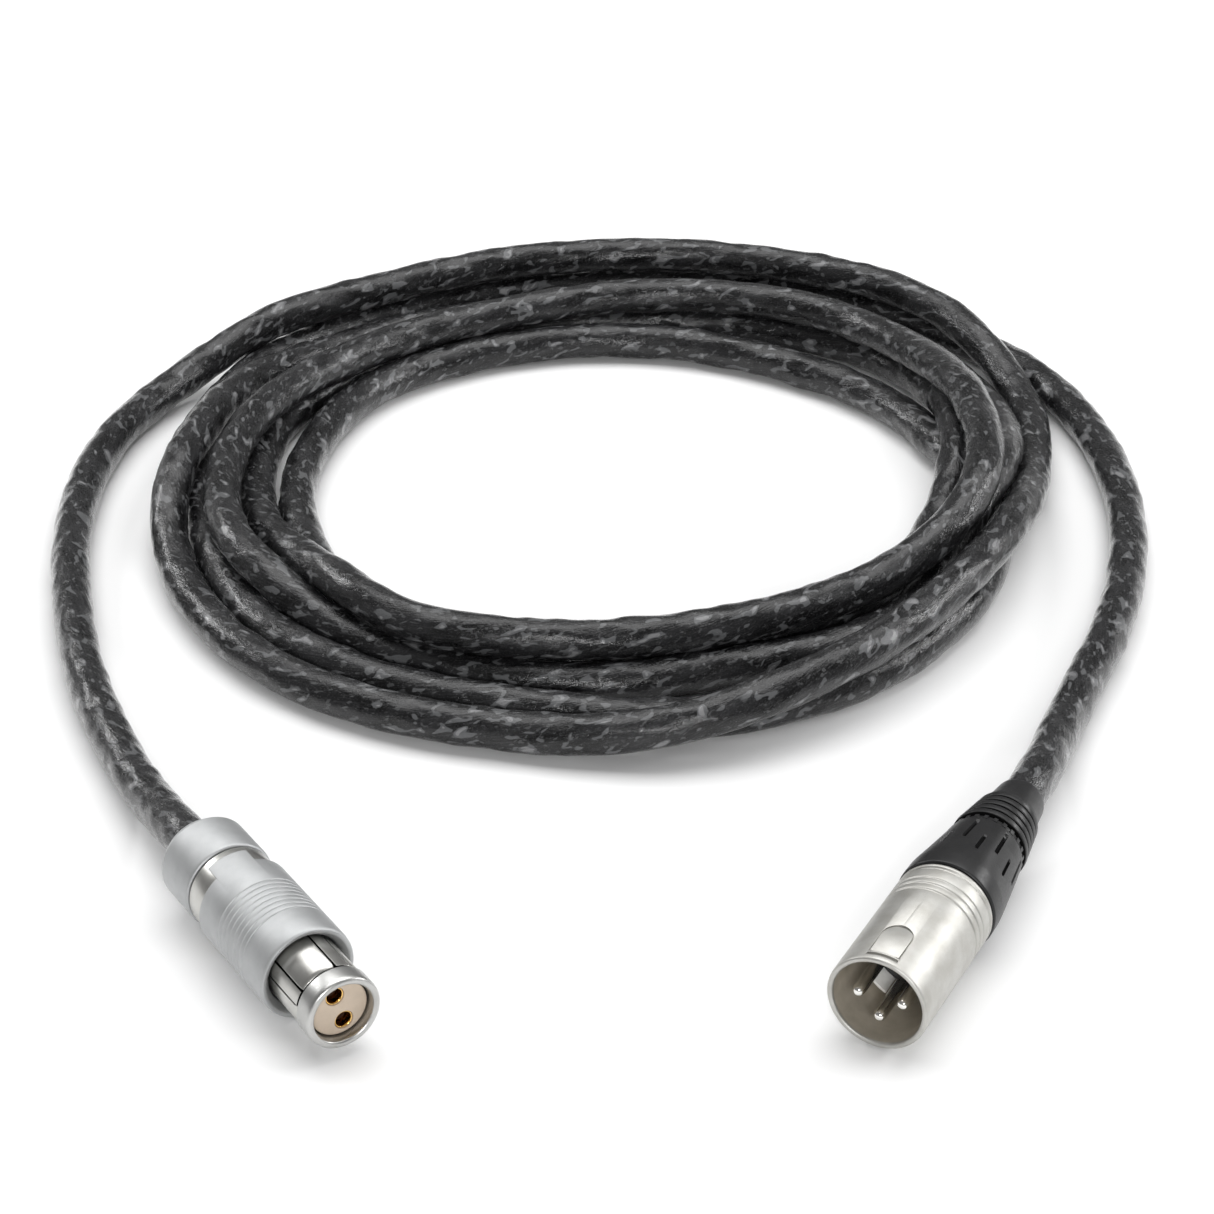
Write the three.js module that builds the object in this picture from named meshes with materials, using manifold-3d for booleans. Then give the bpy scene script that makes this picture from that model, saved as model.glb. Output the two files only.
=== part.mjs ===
// Lead with a push-pull plug on one end and a three-pin XLR plug on the other, laid down as a loose coil.
// Units are millimetres, +Z is up and the surface that the lead lies on is z = 0.
// The XLR plug lies along Y and faces -Y; the push-pull plug lies turned away from it.
import * as THREE from 'three';
import { mergeVertices } from 'three/addons/utils/BufferGeometryUtils.js';
import Module from 'manifold-3d';

const wasm = await Module();
wasm.setup();

// ---------- driving dimensions ----------
const GAP = 0.3;                 // gap kept between touching pieces

const CABLE_D = 8.8;             // jacket diameter
const CABLE_R = CABLE_D / 2;

const XLR_POS = [62.501, -10.221, 9.7];   // centre of the XLR rim
const XLR_LEN = 71;              // rim to the end of the boot
const XLR_R = 9.5;               // shell radius (19 mm rim)
const XLR_BORE = 8.35;           // cavity radius
const XLR_CAVITY = 15.5;         // depth to the insert face
const XLR_SHELL_END = 31.8;      // rear edge of the metal shell
const PIN_R = 1.2;
const PIN_TIP = 1.1;             // pins end this far inside the rim
const PINS = [[-4.2, 0.1], [4.2, 0.1], [0, -3.9]];
const BOOT_R = 9.7;              // collar of the boot

const PLUG_POS = [-19.243, -54.283, 9.3]; // centre of the nose ring
const PLUG_TURN = 59.8;          // degrees, turn of the plug axis about +Z
const PLUG_LEN = 57.5;           // nose to the end of the nut
const NOSE_R = 7.25;
const NOSE = -1.0;               // front of the nose ring along the plug
const FINGER_R = 6.85;
const SLEEVE_R = 9.3;
const SLEEVE_FRONT = 12.5;
const SLEEVE_REAR = 37.5;
const TAB_REAR = 41.2;
const NUT_R = 8.9;
const NUT_FRONT = 43.7;
const SOCKETS = [[-0.75, 2.8], [0.75, -2.8]];
const SOCKET_R = 1.75;
const FINGER_ANGLES = [112, 22, -68, -158]; // degrees about the plug axis
const FINGER_HALF = 31.5;        // half width of a latch finger, degrees

// ---------- helpers ----------
function signedVolume(g) {
  const p = g.attributes.position, ix = g.index;
  const n = ix ? ix.count : p.count;
  const a = new THREE.Vector3(), b = new THREE.Vector3(), c = new THREE.Vector3();
  let v = 0;
  for (let i = 0; i < n; i += 3) {
    const [i0, i1, i2] = ix ? [ix.getX(i), ix.getX(i + 1), ix.getX(i + 2)] : [i, i + 1, i + 2];
    a.fromBufferAttribute(p, i0); b.fromBufferAttribute(p, i1); c.fromBufferAttribute(p, i2);
    v += a.dot(b.cross(c)) / 6;
  }
  return v;
}

// one closed body with shared corners and faces pointing out
function tidy(g) {
  g.deleteAttribute('normal');
  if (g.attributes.uv) g.deleteAttribute('uv');
  let m = mergeVertices(g, 1e-4);
  const ix = [], p = m.attributes.position;
  const A = new THREE.Vector3(), B = new THREE.Vector3(), C = new THREE.Vector3();
  for (let i = 0; i < m.index.count; i += 3) {
    const a = m.index.getX(i), b = m.index.getX(i + 1), c = m.index.getX(i + 2);
    if (a === b || b === c || a === c) continue;
    A.fromBufferAttribute(p, a); B.fromBufferAttribute(p, b); C.fromBufferAttribute(p, c);
    if (B.sub(A).cross(C.sub(A)).length() < 1e-10) continue;
    ix.push(a, b, c);
  }
  m.setIndex(ix);
  if (signedVolume(m) < 0) {
    for (let i = 0; i < ix.length; i += 3) { const t = ix[i + 1]; ix[i + 1] = ix[i + 2]; ix[i + 2] = t; }
    m.setIndex(ix);
  }
  return m;
}

function toSolid(g) {
  const m = tidy(g.clone());
  return new wasm.Manifold(new wasm.Mesh({
    numProp: 3,
    vertProperties: new Float32Array(m.attributes.position.array),
    triVerts: new Uint32Array(m.index.array),
  }));
}

function fromSolid(s) {
  const m = s.getMesh();
  const g = new THREE.BufferGeometry();
  g.setAttribute('position', new THREE.BufferAttribute(new Float32Array(m.vertProperties), 3));
  g.setIndex(new THREE.BufferAttribute(new Uint32Array(m.triVerts), 1));
  return g;
}

const cut = (g, ...tools) => fromSolid(tools.reduce((s, t) => s.subtract(toSolid(t)), toSolid(g)));

// turned piece about its local Y axis; profile is a list of [radius, y]
function turned(profile, segments = 32, closed = true) {
  const pts = profile.map(([r, y]) => new THREE.Vector2(r, y));
  if (closed && (pts[0].x > 0 || pts[pts.length - 1].x > 0)) pts.push(pts[0].clone());
  return tidy(new THREE.LatheGeometry(pts, segments));
}

// ring sector about Y: radii r0..r1, from y0 to y1, angles in degrees from +X towards +Z
function sector(r0, r1, y0, y1, mid, half, steps = 10) {
  const s = new THREE.Shape();
  const a0 = THREE.MathUtils.degToRad(mid - half), a1 = THREE.MathUtils.degToRad(mid + half);
  const at = (r, a) => [r * Math.cos(a), r * Math.sin(a)];
  s.moveTo(...at(r0, a0));
  for (let i = 0; i <= steps; i++) s.lineTo(...at(r1, a0 + (a1 - a0) * i / steps));
  for (let i = steps; i > 0; i--) s.lineTo(...at(r0, a0 + (a1 - a0) * i / steps));
  s.closePath();
  const g = new THREE.ExtrudeGeometry(s, { depth: y1 - y0, bevelEnabled: false, steps: 1 });
  // shape plane x,y becomes x,z; extrusion becomes y
  g.applyMatrix4(new THREE.Matrix4().set(1, 0, 0, 0, 0, 0, 1, y0, 0, 1, 0, 0, 0, 0, 0, 1));
  return tidy(g);
}

function box(x0, x1, y0, y1, z0, z1) {
  const g = new THREE.BoxGeometry(x1 - x0, y1 - y0, z1 - z0);
  g.translate((x0 + x1) / 2, (y0 + y1) / 2, (z0 + z1) / 2);
  return g;
}

function rod(r, y0, y1, x, z, segments = 12) {
  const g = new THREE.CylinderGeometry(r, r, y1 - y0, segments);
  g.translate(x, (y0 + y1) / 2, z);
  return g;
}

// round cord along a list of points
function cord(points, r, sides, steps) {
  const curve = new THREE.CatmullRomCurve3(points.map((p) => new THREE.Vector3(...p)), false, 'centripetal');
  const s = new THREE.Shape();
  for (let i = 0; i < sides; i++) {
    const a = (i + 0.5) / sides * Math.PI * 2;
    i ? s.lineTo(r * Math.cos(a), r * Math.sin(a)) : s.moveTo(r * Math.cos(a), r * Math.sin(a));
  }
  s.closePath();
  return tidy(new THREE.ExtrudeGeometry(s, { steps, extrudePath: curve, bevelEnabled: false }));
}

const lead = new THREE.Group();
const xlr = new THREE.Group();
xlr.position.set(...XLR_POS);
const plug = new THREE.Group();
plug.position.set(...PLUG_POS);
plug.rotation.z = THREE.MathUtils.degToRad(PLUG_TURN);
lead.add(xlr, plug);

function add(parent, name, geometry, color, roughness, metalness) {
  const g = tidy(geometry);
  g.computeVertexNormals();
  const mesh = new THREE.Mesh(g, new THREE.MeshStandardMaterial({ color, roughness, metalness }));
  mesh.name = name;
  parent.add(mesh);
  return mesh;
}

const NICKEL = [0xc9c5bd, 0.32, 1.0];
const CHROME = [0xc4c8c9, 0.48, 1.0];
const POLISH = [0xcfcfcf, 0.14, 1.0];
const GOLD = [0xd9a441, 0.2, 1.0];
const BLACK = [0x1b1b1d, 0.5, 0.0];
const RUBBER = [0x242426, 0.62, 0.0];
const BEIGE = [0xd8c8b4, 0.45, 0.0];
const JACKET = [0x1a1b1e, 0.3, 0.0];

// ---------- XLR plug ----------
// shell: cavity in front, insert seat in the middle, thread room at the back
{
  const shell = turned([
    [XLR_BORE, 0.5], [8.55, 0.12], [8.8, 0], [9.15, 0], [9.42, 0.25], [XLR_R, 0.8],
    [XLR_R, 23.2], [9.25, 23.45], [9.25, 24.35], [XLR_R, 24.6], [XLR_R, 26.4], [9.25, 26.65], [9.25, 27.55], [XLR_R, 27.8],
    [XLR_R, 29.7], [8.95, 30.0], [8.95, 30.6], [XLR_R, 30.9], [XLR_R, 31.5], [9.3, XLR_SHELL_END],
    [8.9, XLR_SHELL_END], [8.9, 28.0], [XLR_BORE, 27.6],
  ], 40);
  // latch slot near the rim, on top
  add(xlr, 'xlr_shell', cut(shell, box(-2.9, 2.9, 1.3, 2.0, 6.5, 11)), ...NICKEL);
}
// insert with its pin bores, and a notch for the earth spring
{
  const disc = turned([[0, XLR_CAVITY], [7.75, XLR_CAVITY], [8.05, XLR_CAVITY + 0.3], [8.05, 27.4], [0, 27.4]], 32, false);
  const bores = PINS.map(([x, z]) => rod(PIN_R + GAP, XLR_CAVITY - 1, 29, x, z, 16));
  const notch = sector(6.3, 9.5, XLR_CAVITY - 1, 22.0, -126, 17, 4);
  add(xlr, 'xlr_insert', cut(disc, ...bores, notch), ...BLACK);
}
PINS.forEach(([x, z], i) => {
  const g = turned([
    [0, PIN_TIP], [0.55, PIN_TIP + 0.1], [0.95, PIN_TIP + 0.42], [PIN_R, PIN_TIP + 1.0], [PIN_R, 28.0], [PIN_R, 32.2],
    [0.85, 32.2], [0.85, 29.6], [0, 29.6],
  ], 14, false);
  g.translate(x, 0, z);
  add(xlr, `xlr_pin_${i + 1}`, g, ...POLISH);
});
// earth spring: a strip beside the cavity wall, rooted in the insert's notch
add(xlr, 'xlr_ground_spring', sector(6.75, 7.3, 11.6, 21.6, -126, 13, 4), ...POLISH);
// threaded bushing that clamps the cable and screws into the shell
add(xlr, 'xlr_bushing', turned([
  [6.9, 28.4], [8.55, 28.4], [8.55, 31.3], [7.95, 31.8], [7.95, 37.6], [7.1, 44.6], [6.9, 48.6], [6.2, 50.2], [5.6, 50.2], [5.6, 49.4], [6.3, 46.6], [6.3, 38.2], [6.9, 37.6],
], 28), ...BLACK);
// cable clamp: slotted tube around the jacket
{
  const tube = turned([[4.7, 38.5], [5.7, 38.5], [6.0, 39.2], [6.0, 46.5], [5.3, 49.2], [4.7, 49.2]], 28);
  add(xlr, 'xlr_chuck', cut(tube,
    box(-0.5, 0.5, 41.0, 50.0, -8, 8), box(-8, 8, 41.0, 50.0, -0.5, 0.5)), 0xd9d9d4, 0.5, 0.0);
}
// rubber boot with its collar, tapered grip and strain relief ribs
add(xlr, 'xlr_boot', turned([
  [8.35, 32.1], [9.45, 32.1], [BOOT_R, 32.5], [BOOT_R, 33.8], [9.6, 36.5], [9.15, 40.5], [8.5, 45.0], [7.9, 49.5], [7.65, 51.6],
  [7.0, 51.9], [7.0, 53.5], [7.6, 53.7], [7.6, 55.0], [6.5, 55.1], [6.5, 55.7], [7.3, 55.8], [7.3, 57.1], [6.2, 57.2], [6.2, 57.8],
  [7.0, 57.9], [7.0, 59.2], [5.9, 59.3], [5.9, 59.9], [6.7, 60.0], [6.7, 61.3], [5.7, 61.4], [5.7, 62.0], [6.4, 62.1], [6.35, 63.3],
  [6.0, 63.9], [5.5, 66.0], [5.0, XLR_LEN - 0.3], [4.85, XLR_LEN], [4.7, XLR_LEN], [4.7, 50.8], [6.7, 50.7], [7.25, 48.8], [7.45, 45.0], [8.35, 38.0],
], 32), ...RUBBER);
// jacketed cable end inside the boot, and its three cores
add(xlr, 'xlr_cable_end', turned([[0, 37.8], [CABLE_R, 37.8], [CABLE_R, XLR_LEN - 0.2], [0, XLR_LEN - 0.2]], 16, false), ...JACKET);
PINS.forEach(([x, z], i) => {
  const k = 0.42;
  add(xlr, `xlr_wire_${i + 1}`, cord([[x, 32.5, z], [x * 0.95, 33.6, z * 0.95], [x * (k + 0.2), 35.6, z * (k + 0.2)], [x * k, 37.5, z * k]], 0.8, 8, 6),
    [0xb01717, 0xe6e6e6, 0x1f3f9a][i], 0.5, 0.0);
});

// ---------- push-pull plug ----------
// inner body: nose ring, latch windows, flange and rear thread
{
  const body = turned([
    [5.75, NOSE + 0.6], [5.95, NOSE + 0.15], [6.3, NOSE], [6.7, NOSE], [7.05, NOSE + 0.2], [NOSE_R, NOSE + 0.7], [NOSE_R, 3.3], [FINGER_R, 3.5],
    [FINGER_R, 38.3], [8.5, 38.3], [8.5, 43.35], [7.4, 43.35], [7.4, 50.0], [6.9, 50.0], [6.9, 43.0], [5.25, 39.0], [5.25, 4.0], [5.75, 3.95],
  ], 40);
  const windows = FINGER_ANGLES.map((a) => sector(5.65, 9, 3.8, 20.2, a, FINGER_HALF + 2.2, 8));
  add(plug, 'plug_body', cut(body, ...windows), ...POLISH);
}
FINGER_ANGLES.forEach((a, i) => {
  add(plug, `plug_finger_${i + 1}`, sector(6.25, FINGER_R, 4.3, 19.8, a, FINGER_HALF, 8), ...POLISH);
});
// release sleeve: slides back on the body; grip grooves outside, two tabs at the rear
{
  const grip = [];
  for (let i = 0; i < 8; i++) {
    const y = 20.3 + 1.4 * i;
    grip.push([SLEEVE_R, y - 0.22], [SLEEVE_R - 0.28, y], [SLEEVE_R, y + 0.22]);
  }
  const sleeve = turned([
    [7.2, 14.0], [7.9, 13.4], [8.55, SLEEVE_FRONT], [8.85, SLEEVE_FRONT], [9.15, 12.9], [SLEEVE_R, 13.6], ...grip,
    [SLEEVE_R, TAB_REAR - 0.3], [9.15, TAB_REAR], [8.8, TAB_REAR], [8.8, 36.0], [7.2, 35.6],
  ], 40);
  const notches = [10, 190].map((a) => sector(7.8, 11, SLEEVE_REAR, TAB_REAR + 1, a, 65, 12));
  add(plug, 'plug_sleeve', cut(sleeve, ...notches), ...CHROME);
}
// beige insulator with two contact bores
{
  const core = turned([[0, 0.9], [5.4, 0.9], [5.45, 1.0], [5.45, 3.65], [4.95, 3.65], [4.95, 19.0], [0, 19.0]], 32, false);
  add(plug, 'plug_insulator', cut(core, ...SOCKETS.map(([x, z]) => rod(SOCKET_R + 0.15, 0, 20, x, z, 18))), ...BEIGE);
}
SOCKETS.forEach(([x, z], i) => {
  const g = turned([
    [1.4, 1.4], [1.5, 1.15], [1.65, 1.1], [SOCKET_R, 1.25], [SOCKET_R, 24.0], [1.5, 24.4], [1.5, 28.5], [1.0, 28.5], [1.0, 25.5], [0, 25.5],
    [0, 12.0], [1.4, 12.0],
  ], 16, true);
  g.translate(x, 0, z);
  add(plug, `plug_socket_${i + 1}`, g, ...GOLD);
});
// clamp ring that holds the insulator from behind
add(plug, 'plug_retainer', turned([[4.75, 19.3], [4.95, 19.3], [4.95, 31.0], [4.75, 31.0]], 24), ...POLISH);
// collet that grips the jacket, slotted, inside the nut
{
  const c = turned([[4.7, 44.5], [6.3, 44.5], [6.55, 45.0], [6.55, 51.0], [5.6, 54.6], [4.7, 54.6]], 28);
  add(plug, 'plug_collet', cut(c, box(-0.5, 0.5, 46.5, 56, -8, 8), box(-8, 8, 46.5, 56, -0.5, 0.5)), 0xc9b37a, 0.35, 1.0);
}
// collet nut with a rounded rear shoulder
add(plug, 'plug_backnut', turned([
  [7.75, NUT_FRONT], [8.6, NUT_FRONT], [8.8, NUT_FRONT + 0.2], [NUT_R, NUT_FRONT + 0.6], [NUT_R, 53.6], [8.75, 54.8], [8.4, 55.8], [7.8, 56.6], [7.0, 57.2],
  [6.3, PLUG_LEN], [6.0, PLUG_LEN], [6.0, 55.4], [6.4, 54.9], [6.9, 51.6], [7.75, 50.8],
], 36), ...CHROME);
// seal washer where the cable enters
add(plug, 'plug_gland', turned([[4.7, 55.7], [5.7, 55.7], [5.7, 57.1], [4.7, 57.1]], 24), ...RUBBER);
add(plug, 'plug_cable_end', turned([[0, 34.0], [CABLE_R, 34.0], [CABLE_R, PLUG_LEN - 0.2], [0, PLUG_LEN - 0.2]], 16, false), ...JACKET);
SOCKETS.forEach(([x, z], i) => {
  add(plug, `plug_wire_${i + 1}`, cord([[x, 28.8, z], [x, 30.4, z], [x * 0.7, 32.3, z * 0.7], [x * 0.6, 33.7, z * 0.6]], 1.0, 8, 6),
    [0xb01717, 0x17171a][i], 0.5, 0.0);
});

// ---------- cable ----------
// centre of the coil, and for each angle (degrees): inner radius, outer radius, height of the pile of turns
const COIL_C = [-56.706, 144.024];
const COIL = [
  [0.00, 56.71, 84.88, 21.51], [5.00, 57.23, 85.19, 23.02], [10.00, 57.84, 85.79, 24.53], [15.00, 58.71, 86.86, 25.64],
  [20.00, 59.64, 87.89, 26.28], [25.00, 61.03, 89.36, 26.56], [30.00, 62.46, 91.42, 26.65], [35.00, 64.36, 94.29, 26.68],
  [40.00, 66.20, 97.48, 26.68], [45.00, 68.37, 101.09, 26.54], [50.00, 69.86, 105.33, 26.34], [55.00, 70.13, 108.04, 25.59],
  [58.09, 70.37, 108.73, 25.07], [58.19, 70.94, 120.82, 24.11], [65.00, 71.80, 122.86, 23.06], [70.00, 72.86, 123.65, 21.69],
  [75.00, 73.76, 124.42, 20.39], [80.00, 74.58, 125.25, 19.17], [85.00, 75.40, 126.16, 18.18], [90.00, 76.38, 127.08, 17.73],
  [95.00, 77.43, 127.92, 17.73], [100.00, 78.80, 128.50, 17.72], [105.00, 80.31, 128.78, 17.75], [110.00, 81.87, 128.85, 17.77],
  [115.00, 83.34, 128.96, 17.78], [120.00, 84.74, 129.23, 17.78], [125.00, 85.85, 129.49, 17.78], [130.00, 86.70, 129.63, 17.78],
  [135.00, 87.47, 129.71, 17.78], [140.00, 88.02, 129.78, 17.77], [145.00, 88.38, 129.82, 17.74], [150.00, 88.70, 129.83, 17.73],
  [155.00, 88.98, 129.83, 17.78], [160.00, 88.99, 130.86, 17.78], [165.00, 88.33, 133.16, 17.67], [170.00, 87.17, 135.73, 16.95],
  [176.76, 86.11, 137.68, 17.23], [176.86, 85.00, 126.19, 17.53], [180.00, 84.19, 126.35, 17.70], [185.00, 82.94, 123.68, 17.76],
  [190.00, 81.83, 120.71, 17.73], [195.00, 80.82, 117.51, 17.77], [200.00, 79.89, 115.06, 17.77], [205.00, 79.01, 115.84, 17.32],
  [210.00, 78.11, 116.43, 16.77], [215.00, 77.43, 116.43, 17.07], [220.00, 76.91, 116.24, 17.13], [225.00, 76.67, 115.74, 17.13],
  [230.00, 76.46, 115.28, 16.91], [235.00, 76.21, 114.95, 16.99], [240.00, 75.80, 114.68, 17.89], [245.00, 75.21, 114.11, 18.15],
  [250.00, 74.25, 113.41, 18.15], [255.00, 73.10, 112.57, 18.09], [260.00, 71.77, 111.51, 17.92], [265.00, 70.41, 110.25, 17.76],
  [270.00, 69.07, 108.69, 17.67], [275.00, 67.66, 107.10, 17.48], [280.00, 66.09, 105.72, 17.23], [285.00, 64.41, 104.87, 16.98],
  [290.00, 62.88, 104.58, 16.77], [295.00, 61.37, 104.45, 16.65], [300.00, 59.95, 104.01, 16.58], [305.00, 58.60, 102.75, 16.50],
  [310.00, 57.57, 100.95, 16.41], [315.00, 56.72, 98.90, 16.95], [320.00, 56.10, 96.46, 17.34], [325.00, 55.72, 94.18, 17.53],
  [330.00, 55.61, 92.14, 17.64], [335.00, 55.61, 90.04, 17.69], [340.00, 55.67, 88.35, 17.70], [345.00, 55.82, 86.96, 17.71],
  [350.00, 56.05, 85.88, 18.45], [355.00, 56.35, 85.22, 19.95],
];
const TAIL_PLUG = [
  [-69.07, -25.28, 9.30], [-71.10, -24.10, 9.30], [-83.18, -16.04, 7.26], [-96.61, -6.08, 5.01], [-109.36, 3.92, 4.45],
  [-121.75, 14.58, 4.45], [-133.61, 26.09, 4.45], [-144.67, 38.44, 4.45], [-155.06, 51.37, 4.45], [-164.87, 64.83, 4.45],
  [-174.08, 79.36, 4.45], [-182.43, 96.07, 4.45], [-188.94, 115.28, 4.45], [-191.68, 134.86, 4.68], [-189.98, 149.70, 6.58],
];
const TAIL_XLR = [
  [5.09, 241.15, 4.45], [15.41, 230.56, 4.45], [25.12, 217.78, 4.45], [33.50, 204.13, 4.45], [40.45, 189.72, 4.45],
  [46.03, 174.72, 4.45], [50.39, 159.32, 4.45], [53.62, 143.66, 4.45], [55.54, 127.75, 4.45], [56.87, 111.63, 4.45],
  [58.65, 95.57, 5.24], [61.15, 80.24, 7.68], [62.50, 64.88, 9.70], [62.50, 62.58, 9.70], [62.50, 60.93, 9.70],
];

// ring of the outer shape of the coil: a turned ring whose radii and height follow the table
{
  const n = COIL.length;
  // unit profile: [share of the way out, share of the height]; corners are taken off
  const ring = [[0.06, 0], [0.94, 0], [1, 0.16], [1, 0.8], [0.9, 1], [0.1, 1], [0, 0.8], [0, 0.16]];
  const pts = ring.map(([u, v]) => new THREE.Vector2(1 + u, v));
  pts.push(pts[0].clone());
  const g = new THREE.LatheGeometry(pts, n);
  const p = g.attributes.position;
  for (let i = 0; i < p.count; i++) {
    const col = Math.floor(i / pts.length) % n, k = i % pts.length;
    const [deg, r0, r1, h] = COIL[col];
    const [u, v] = k < ring.length ? ring[k] : ring[0];
    const a = THREE.MathUtils.degToRad(deg), r = r0 + (r1 - r0) * u;
    p.setXYZ(i, COIL_C[0] + r * Math.cos(a), COIL_C[1] + r * Math.sin(a), h * v);
  }
  add(lead, 'cable_coil', g, ...JACKET);
}
add(lead, 'cable_tail_plug', cord(TAIL_PLUG, CABLE_R, 10, 18), ...JACKET);
add(lead, 'cable_tail_xlr', cord(TAIL_XLR, CABLE_R, 10, 18), ...JACKET);

export default lead;
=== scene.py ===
# Coiled audio lead: XLR plug on one end, push-pull plug on the other. Metres, in the frame of the CAD model.
import bpy, math
import numpy as np
from mathutils import Matrix, Vector


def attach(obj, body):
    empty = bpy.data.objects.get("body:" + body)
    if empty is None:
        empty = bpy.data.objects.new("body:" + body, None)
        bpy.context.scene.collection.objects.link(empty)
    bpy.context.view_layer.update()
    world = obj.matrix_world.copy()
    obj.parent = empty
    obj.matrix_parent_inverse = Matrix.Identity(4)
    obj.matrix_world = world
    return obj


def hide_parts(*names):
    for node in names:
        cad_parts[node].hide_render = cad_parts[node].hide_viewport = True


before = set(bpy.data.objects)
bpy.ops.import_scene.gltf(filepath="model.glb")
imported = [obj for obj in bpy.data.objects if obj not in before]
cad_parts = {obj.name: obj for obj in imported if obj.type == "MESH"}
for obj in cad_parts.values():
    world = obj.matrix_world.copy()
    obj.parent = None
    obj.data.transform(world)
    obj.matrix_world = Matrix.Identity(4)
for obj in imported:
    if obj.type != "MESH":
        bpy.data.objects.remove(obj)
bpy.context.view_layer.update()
MM = 0.001
R = math.radians

# ---------------------------------------------------------------- camera
TURN = R(27.4)
CAM = Vector((0.20876, -0.394188, 0.3282))
cam_data = bpy.data.cameras.new("camera")
cam_data.sensor_width = 36.0
cam_data.sensor_fit = "HORIZONTAL"
cam_data.lens = 87.48
cam_data.clip_start = 0.01
cam_data.clip_end = 20.0
cam = bpy.data.objects.new("camera", cam_data)
cam.location = CAM
cam.rotation_euler = (R(59.7), 0.0, TURN)
bpy.context.scene.collection.objects.link(cam)
bpy.context.scene.camera = cam


def put(obj, body):
    bpy.context.scene.collection.objects.link(obj)
    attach(obj, body)
    return obj


def new_mesh(name, verts, faces, matrix=None, sharp=32.0):
    me = bpy.data.meshes.new(name)
    me.from_pydata([tuple(v) for v in verts], [], [tuple(f) for f in faces])
    me.validate()
    me.polygons.foreach_set("use_smooth", [True] * len(me.polygons))
    me.set_sharp_from_angle(angle=R(sharp))
    ob = bpy.data.objects.new(name, me)
    if matrix is not None:
        ob.matrix_world = matrix
    return ob


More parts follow.
